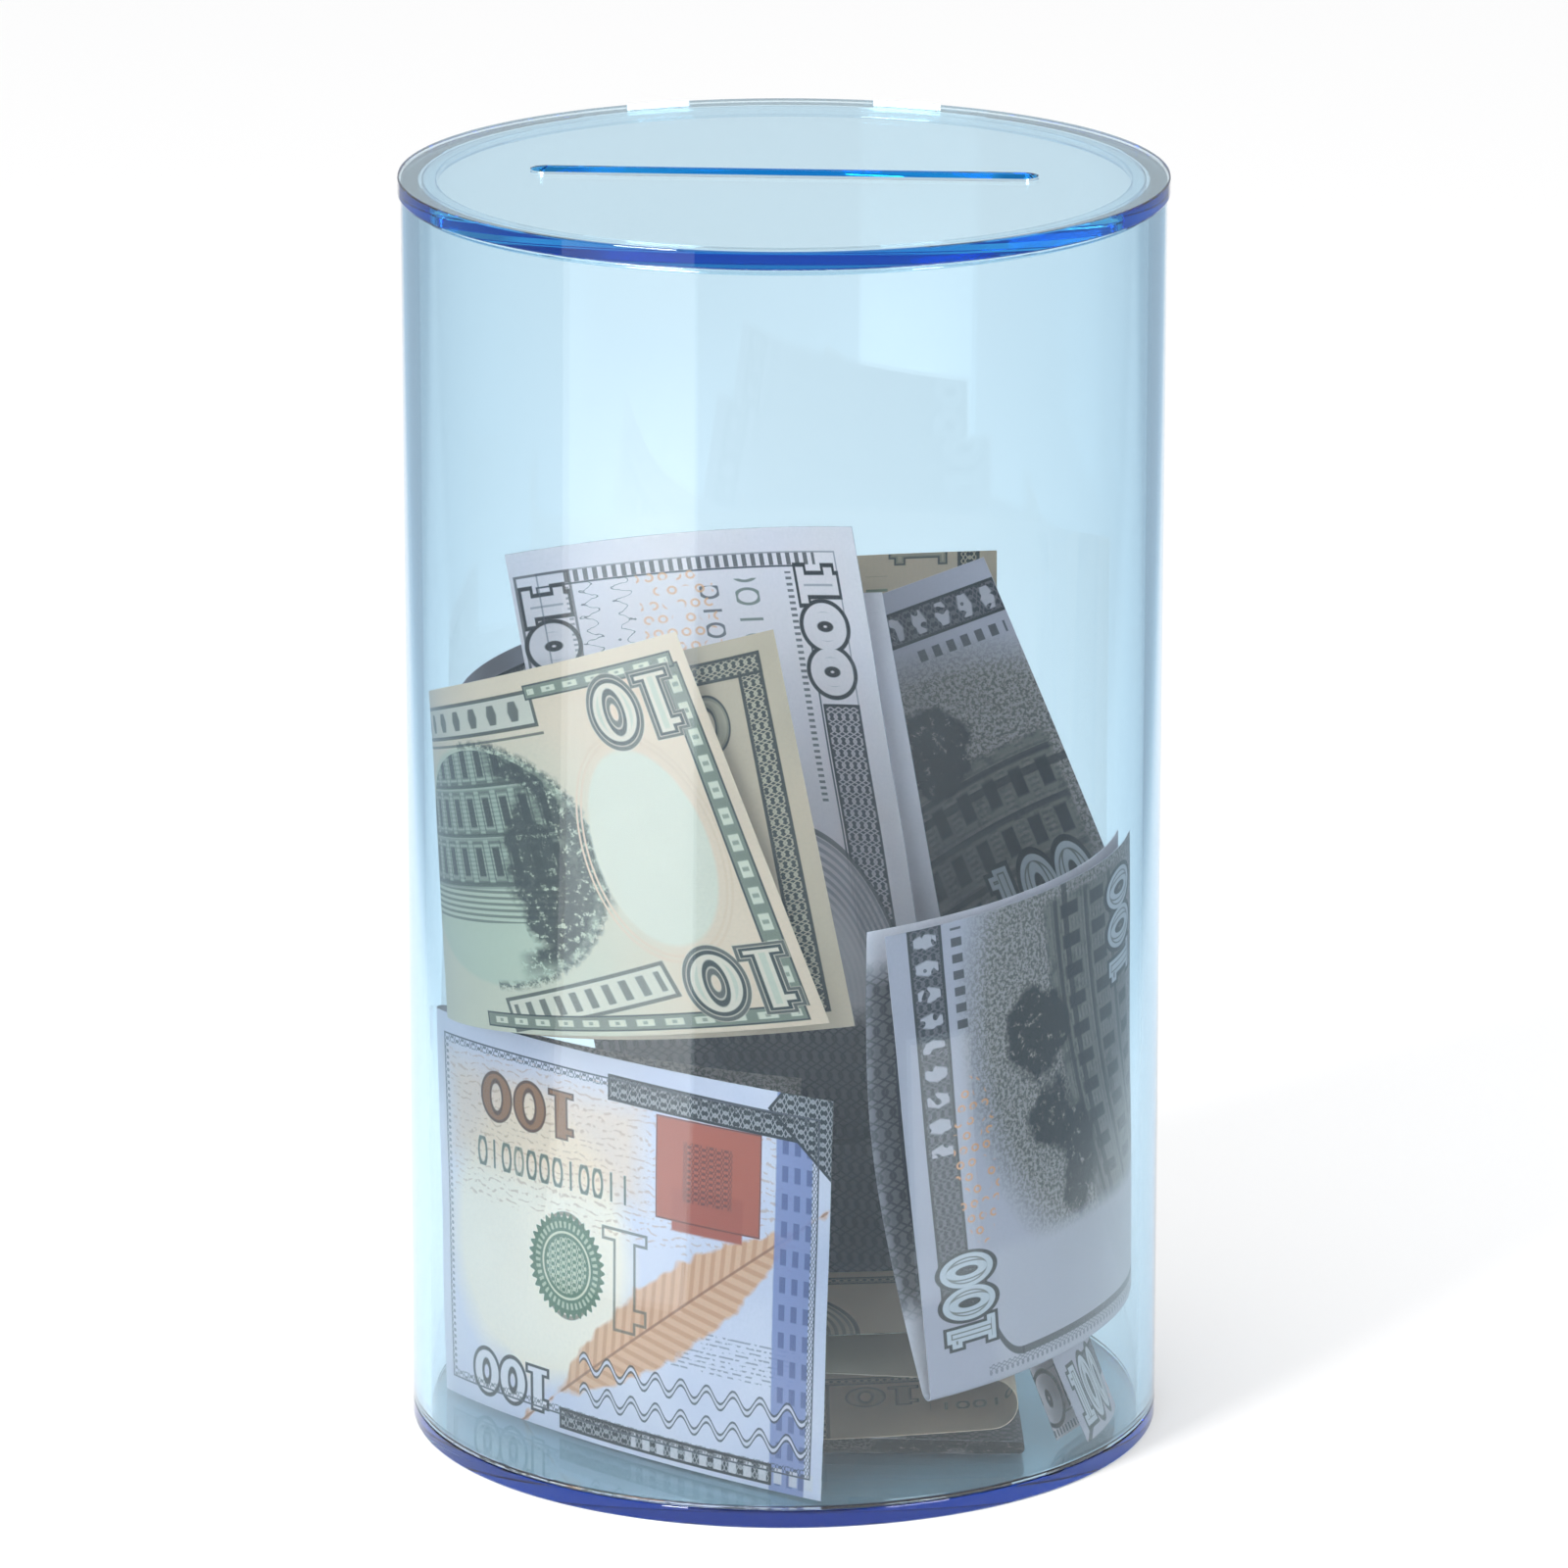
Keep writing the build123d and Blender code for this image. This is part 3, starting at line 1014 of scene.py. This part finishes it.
# %% Back of a hundred
def hundred_back():
    # The grey paper is painted shade: the same paper as the face, darker.
    p = Paint("hundred_back", srgb(178, 178, 192))
    x, y = p.x, p.y
    x = x.math("PINGPONG", 78.0)
    ink, dusk = srgb(10, 12, 12), srgb(112, 112, 106)
    spray = p.noise(230, 3.0, 0.8)
    haze = inside(oval(x, y, 20, 44, 42, 30), 7.0)
    p.lay(haze, srgb(156, 150, 138), 0.7)
    p.lay(haze * spray.above(0.5, 0.08), srgb(58, 54, 42), 0.8)
    drift = p.noise(16, 4.0, 0.6)
    building(p, x - 2.0, y + (x * x) * -0.004 + 2.0, 33, 60, 8.8, 5.2, ink, dusk)
    roof = outline(y - 36.4 - (x * x) * 0.004, 1.4) * inside(box(x, y, -1, 20, 60, 64))
    p.lay(roof, ink, 0.8)
    leaves = p.noise(80, 4.0, 0.8)
    for centre_x, centre_y, radius_x, radius_y in ((22, 28, 8, 7), (37, 31, 6, 5), (45, 38, 9, 5)):
        crown = oval(x, y, centre_x, centre_y, radius_x, radius_y) + (drift - 0.5) * 12.0
        p.lay(inside(crown, 1.5) * leaves.above(0.40, 0.06), ink, 0.95)
    p.lay(inside(box(x, y, 56, 14, 80, 66), 3.0), srgb(190, 190, 200), 0.9)
    band = box(x, y, -1, 3.6, 63.5, 9.6)
    p.lay(inside(band), srgb(30, 28, 38))
    p.lay(woven(x, y, 1.5, 4.0) * inside(band + 0.5), srgb(140, 140, 150), 0.4)
    pales = (x / 4.4).cell().away(0.5) - 0.3 + (y - 6.6).size() * 0.07
    chips = p.noise(95, 0.0).above(0.42, 0.03)
    p.lay(inside(pales, 0.08) * chips * inside(box(x, y, 1, 4.6, 38, 8.6)), srgb(196, 196, 206), 0.85)
    p.lay(outline(band + 0.2, 0.4), ink)
    dashes = (x * 2.3).wave().above(-0.1, 0.3) * inside(box(x, y, 1, 11.2, 19, 13.2))
    p.lay(dashes, ink, 0.85)
    curve = oval(x, y, 60, 20, 14, 7.5)
    p.lay(outline(curve, 0.7) * inside(box(x, y, 60, 9, 76, 20)), ink, 0.9)
    p.lay(outline(x - 74.0, 1.3) * inside(y * -1.0 + 19.6), ink, 0.85)
    p.lay(woven(x, y, 1.2, 3.2) * inside(box(x, y, 74.6, 12, 76.4, 62)), ink, 0.6)
    for centre, size, bold in (((62.6, 9.0), 9.2, 1.0), ((12.5, 56.5), 11.0, 1.2)):
        heavy = numeral(x, y, 2, centre, size, 180, 0.78)
        p.lay(inside(heavy - bold), ink)
        p.lay(inside(heavy - 0.35), srgb(196, 206, 214))
        p.lay(outline(heavy + 0.6, 0.3), dusk)
    sparse = p.noise(60, 0.0).above(0.44)
    p.lay(specks(x, y, 2.3, 0.37, 0.22) * sparse * inside(oval(x, y, 40, 13.0, 14, 4.4)),
          srgb(226, 160, 100), 0.9)
    return p.finish()


prints["hundred_back"] = hundred_back()

# %% [markdown]
# The ten is on buff paper. Its back has a building that fades into trees, a pale oval, a chain of square
# links down the margin and a ten in two corners. Its face is darker, with a woven border at both ends.

# %% Back of a ten
def ten_back():
    p = Paint("ten_back", srgb(216, 198, 172))
    x, y = p.x, p.y
    soot = srgb(28, 38, 32)
    p.lay(inside(oval(x, y, 104, 20, 40, 34), 16.0), srgb(192, 198, 176), 0.8)
    p.lay(inside(box(x, y, 132, -2, 160, 70), 16.0), srgb(220, 196, 168), 0.7)
    drift = p.noise(18, 4.0, 0.6)
    disc = oval(x, y, 106, 32, 25, 23)
    p.lay(inside(disc, 1.0), srgb(176, 192, 170), 0.8)
    body = inside(disc + 1.0) * inside(box(x, y, 60, 27.5, 124, 57))
    bay_x, bay_y = ((x - 89) / 4.6).cell().away(0.5), ((y - 28) / 9.4).cell().away(0.5)
    p.lay(body, srgb(146, 162, 146), 0.85)
    p.lay(body * inside((bay_x - 0.20).over(bay_y - 0.30), 0.06), soot, 0.95)
    p.lay(body * outline((bay_x - 0.31).over(bay_y - 0.40), 0.07, 0.05), soot, 0.7)
    p.lay(body * ((y * 7.5).wave().above(0.2, 0.6)), soot, 0.3)
    p.lay(body * inside(((y - 28) / 9.4).cell() - 0.08, 0.04), soot, 0.8)
    steps = inside(disc + 1.0) * inside(box(x, y, 60, 21, 124, 27.5))
    p.lay(steps * (y * 5.4 + (x * 0.06).wave() * 3.0).wave().above(0.1, 0.5), soot, 0.7)
    leaves = p.noise(90, 4.0, 0.8)
    fringe = outline(disc + 2.6 + (drift - 0.5) * 9.0, 5.2, 2.0) * inside(box(x, y, 112, 12, 140, 58), 5.0)
    p.lay(fringe * leaves.above(0.43, 0.06), soot, 0.95)
    trees = oval(x, y, 119, 30, 7, 13) + (drift - 0.5) * 12.0
    p.lay(inside(trees, 1.5) * leaves.above(0.42, 0.06), soot, 0.95)
    edge = outline(disc, 1.4, 1.0) * leaves.above(0.5, 0.1) * inside(104 - x)
    p.lay(edge, soot, 0.8)
    banner = box(x, y, 60, 56.6, 126, 62.6)
    p.lay(inside(banner), srgb(196, 194, 178))
    pales = (x / 5.4).cell().away(0.5) - 0.24 + (y - 59.6).size() * 0.05
    p.lay(inside(pales, 0.08) * inside(banner + 1.2), soot, 0.85)
    p.lay(outline(banner, 0.7), soot, 0.9)
    p.lay(outline(y - 55.0, 0.5) * inside(box(x, y, 60, 50, 127, 58)), soot, 0.8)
    for radius_x, radius_y in ((11.4, 20.0), (10.6, 19.0)):
        p.lay(outline(oval(x, y, 139.5, 32.5, radius_x, radius_y), 0.35), srgb(214, 190, 162))
    p.lay(inside(oval(x, y, 139.5, 32.5, 9.4, 17.2), 0.5), srgb(210, 210, 190))
    across, up = turned_about(x, y, 121, 6.6, 12)
    ribbon = box(across, up, -15, -2.6, 15, 2.6)
    p.lay(inside(ribbon - 0.7), soot, 0.85)
    p.lay(inside(ribbon), srgb(206, 204, 184))
    bars = (across / 3.1).cell().away(0.5) - 0.22
    p.lay(inside(bars, 0.08) * inside(ribbon + 0.8), soot, 0.8)
    link_y = ((y - 2.0) / 4.5).cell() - 0.5
    link_x = ((x - 2.0) / 4.5).cell() - 0.5
    for run, band in ((link_y, box(x, y, 151.2, 3.4, 154.2, 61.6)),
                      (link_x, box(x, y, 125, 61.2, 153.6, 63.6)),
                      (link_x, box(x, y, 100, 1.0, 153.6, 3.6))):
        p.lay(inside(band), srgb(112, 120, 104))
        p.lay(outline(run, 0.62, 0.06) * inside(band + 0.7), srgb(202, 206, 184))
        p.lay(outline(run, 0.16, 0.06) * inside(band + 1.0), srgb(112, 120, 104), 0.8)
        p.lay(outline(band, 0.3), soot)
    for centre in ((144.5, 56.0), (146.0, 8.4)):
        heavy = numeral(x, y, 1, centre, 10.4, 180, 1.06)
        p.lay(inside(heavy - 0.9), srgb(214, 206, 186))
        p.lay(outline(heavy - 0.6, 0.5), soot, 0.9)
        p.lay(outline(heavy, 0.5), soot)
        p.lay(inside(heavy + 0.8), srgb(186, 192, 170), 0.8)
    return p.finish()


prints["ten_back"] = ten_back()

# %% Face of a ten
def ten_face():
    p = Paint("ten_face", srgb(196, 178, 152))
    x, y = p.x, p.y
    olive = srgb(36, 34, 26)
    p.lay(p.cloud.above(0.5, 0.3), srgb(170, 160, 138), 0.5)
    end = x.math("PINGPONG", 78.0)
    border = box(end, y, 3.2, 3.0, 7.0, 63.4)
    top = box(end, y, 3.2, 60.0, 70.0, 63.4)
    bottom = box(end, y, 3.2, 3.0, 70.0, 6.4)
    for band in (border, top, bottom):
        p.lay(inside(band), olive)
        p.lay(woven(y, x, 1.3, 3.6) * inside(band + 0.4), srgb(186, 180, 156), 0.8)
        p.lay(outline(band, 0.3), olive)
    medallion = oval(x, y, 78, 33, 19, 25)
    p.lay(inside(medallion), srgb(178, 172, 152))
    p.lay((medallion * 5.0).wave().above(0.0, 0.5) * inside(medallion), olive, 0.6)
    p.lay(outline(medallion, 0.8), olive)
    for centre in ((16, 13), (140, 53), (16, 53), (140, 13)):
        heavy = numeral(x, y, 1, centre, 9.0, 0, 1.0)
        p.lay(outline(heavy, 0.6), olive)
        p.lay(inside(heavy), srgb(150, 146, 124), 0.7)
    p.lay(digit_row(x, y, 24, 44, 56, 3.6, 2.8), srgb(86, 104, 80), 0.9)
    p.lay(digit_row(x, y, 100, 18, 132, 3.6, 2.8), srgb(86, 104, 80), 0.9)
    p.lay(specks(x, y, 2.6, 0.5, 0.22) * inside(box(x, y, 12, 22, 22, 44)), srgb(214, 170, 96), 0.8)
    return p.finish()


prints["ten_face"] = ten_face()

# %% [markdown]
# ## The pile
#
# Eleven notes, the way they settle when they are pushed through the slot: two folded ones lean against the
# front wall, one stands in a pocket fold at the right, and the rest stand behind or lie on the floor. Each
# row says how a note is bent, where it stands, how its corners are drawn in towards the wall, and what is
# printed on it. Each note's flat size, the size it was cut to, is printed as it is made. Each is a sheet
# for the library's fit test, with the flat size it was cut to.

# %% Pile of notes
NOTE_HEIGHT = 66.3
none = (0, 0, 0)


def along_long_side(distance, up):
    return LONG_SIDE - distance, up


def on_end(distance, up):
    return up, distance


def band_on_top(distance, up):
    return distance, NOTE_HEIGHT - up


def half_turned(distance, up):
    return LONG_SIDE - distance, NOTE_HEIGHT - up


def corner_showing(distance, up):
    return 72.6 - distance, 16.0 - up


# bends, height, foot, heading, back, right, corner pulls, print map, face, reverse, face side, slot, seed
PILE = {
    "note_front_low": (
        [(88.0, -18.0), (3.8, -180.0), (64.2, 44.0)], NOTE_HEIGHT, (6.6, -58.6, 2.0), 147, 2, 0.7,
        [(0, (-0.6, -0.3, -1.6), (0.6, 0.1, 0.5)), (88, (0.5, -0.3, -1.0), (-1.9, 0, 0.1)),
         (91.8, (0.5, -0.3, -1.0), (-1.9, 0, 0.1)), (156, (0, 0, 0), (4.0, -0.8, -3.4))],
        along_long_side, "hundred_face", "hundred_back", 1, "blue_note", 1),
    "note_front_high": (
        [(71.9, -77.0), (4.4, -180.0), (79.7, 87.0)], NOTE_HEIGHT, (1.3, -53.2, 84.4), 176.6, 8.7, -10.7,
        [(0, (6.1, -0.8, -2.9), (-6.4, -1.0, -3.7)), (71.9, (-8.7, 0.2, 0.8), (0, -2.0, -9.0)),
         (76.3, (-8.7, 0.2, 0.8), (0, -2.0, -9.0)), (156, (-0.6, 1.0, -6.3), (-1.5, -0.2, -5.8))],
        along_long_side, "ten_back", "ten_face", 1, "buff_note", 2),
    "note_upright": (
        [(NOTE_HEIGHT, 30.0)], 152.0, (35.0, -4.5, 7.4), 140, -5, -9,
        [(0, none, (-0.1, -0.2, -0.8)), (NOTE_HEIGHT, none, (0.1, -1.5, -5.4))],
        on_end, "hundred_end", "hundred_back", 1, "white_note", 3),
    "note_behind_upright": (
        [(NOTE_HEIGHT, -20.0)], 145.0, (40.0, 2.5, 7.0), 160, -5, -9.5,
        [(0, none, (0.2, -1.6, -6.0)), (NOTE_HEIGHT, none, (0, -1.6, -6.0))],
        on_end, "hundred_end", "hundred_back", 1, "white_note", 4),
    "note_back_right": (
        [(76.0, 0.0), (4.0, -180.0), (76.0, -4.0)], NOTE_HEIGHT, (57.0, 4.0, 77.5), 158, 2, -23.5,
        [(0, (2.6, 0.4, 5.7), (3.1, 0.6, 6.7)), (76, none, (2, 1, 4)), (80, none, (2, 1, 4)),
         (156, (-1, 4.0, 2), (-1, 4.5, 4))],
        band_on_top, "hundred_back", "hundred_end", 1, "grey_note", 5),
    "note_back_upright": (
        [(NOTE_HEIGHT, 25.0)], 136.0, (38.0, 39.0, 8.0), 170, 1, -5,
        [(0, none, (11.0, -1.5, -5.5)), (NOTE_HEIGHT, none, (6, -1.0, -4))],
        on_end, "ten_face", "ten_back", 1, "buff_note", 6),
    "note_left_wall": (
        [(78.0, -78.0)], NOTE_HEIGHT, (-58.2, 7.0, 59.0), 81.5, 0, 0,
        [(0, none, (2.8, -0.8, -3.1)), (78, none, none)],
        half_turned, "hundred_back", "hundred_end", 0, "grey_note", 7),
    "note_right_corner": (
        [(22.0, 22.0), (3.0, 165.0), (20.0, 0.0)], 50.0, (47.5, -33.0, 2.5), 55, 12, -20,
        [(0, (2.2, -0.2, -0.8), (1.0, 0, 0)), (22, none, none), (25, none, none), (45, none, none)],
        corner_showing, "hundred_back", "hundred_end", 0, "grey_note", 8),
    "note_bottom_roll": (
        [(34.0, 6.0), (13.0, 172.0), (31.0, 0.0), (10.0, -176.0), (31.0, 0.0)], NOTE_HEIGHT / 2,
        (0.5, -7.5, 5.0), 0, -90, 0, [(0, none, none), (119, none, none)],
        along_long_side, "ten_face", "ten_back", 1, "grey_note", 9),
    "note_bottom_flat": (
        [(39.0, 0.0), (3.0, 178.0), (39.0, 0.0)], NOTE_HEIGHT / 2,
        (-0.5, -3.5, 1.0), 0, -90, 0, [(0, none, none), (81, none, none)],
        along_long_side, "hundred_back", "hundred_end", 1, "grey_note", 10),
}


def mark_sides(piece, face_side):
    """The print map holds on one side and is mirrored on the other, so numerals read the right way."""
    layer = piece.data.uv_layers["print"].data
    for polygon in piece.data.polygons:
        if polygon.material_index != face_side:
            for loop in polygon.loop_indices:
                layer[loop].uv.x = 1.0 - layer[loop].uv.x


def add_note(node, points, marks, face, reverse, face_side, flat):
    materials = [prints[reverse], prints[face]] if face_side == 1 else [prints[face], prints[reverse]]
    piece = sheet_mesh(node.replace("note", "paper"), points, marks, materials)
    mark_sides(piece, face_side)
    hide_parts(node)
    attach(piece, "root")
    print(piece.name, len(piece.data.polygons), "faces, flat", flat)


for node, row in PILE.items():
    bends, tall, foot, heading, lean, roll, pulls, print_map, face, reverse, side, slot, seed = row
    points, marks = strip_note(bends, tall, standing(foot, heading, lean, roll), pulls, seed, print_map)
    length = sum(stretch for stretch, turn in bends)
    add_note(node, points, marks, face, reverse, side, (length * MM, tall * MM))

points, marks = pocket_points(
    [(NOTE_HEIGHT, 50.0)], LONG_SIDE / 2, 2.0, standing((21.0, -53.5, 18.2), 30, 0.5, -1.0),
    [(0, (2.3, -0.5, -1.9), (-4, 0, -0.1)), (NOTE_HEIGHT, (0.8, 0, 0.8), (1.4, 0.7, 2.7))],
    11, (-3.4, 1.6, 0))
add_note("note_right_side", points, marks, "hundred_back", "hundred_end", 1,
         (NOTE_HEIGHT * MM, LONG_SIDE * MM))
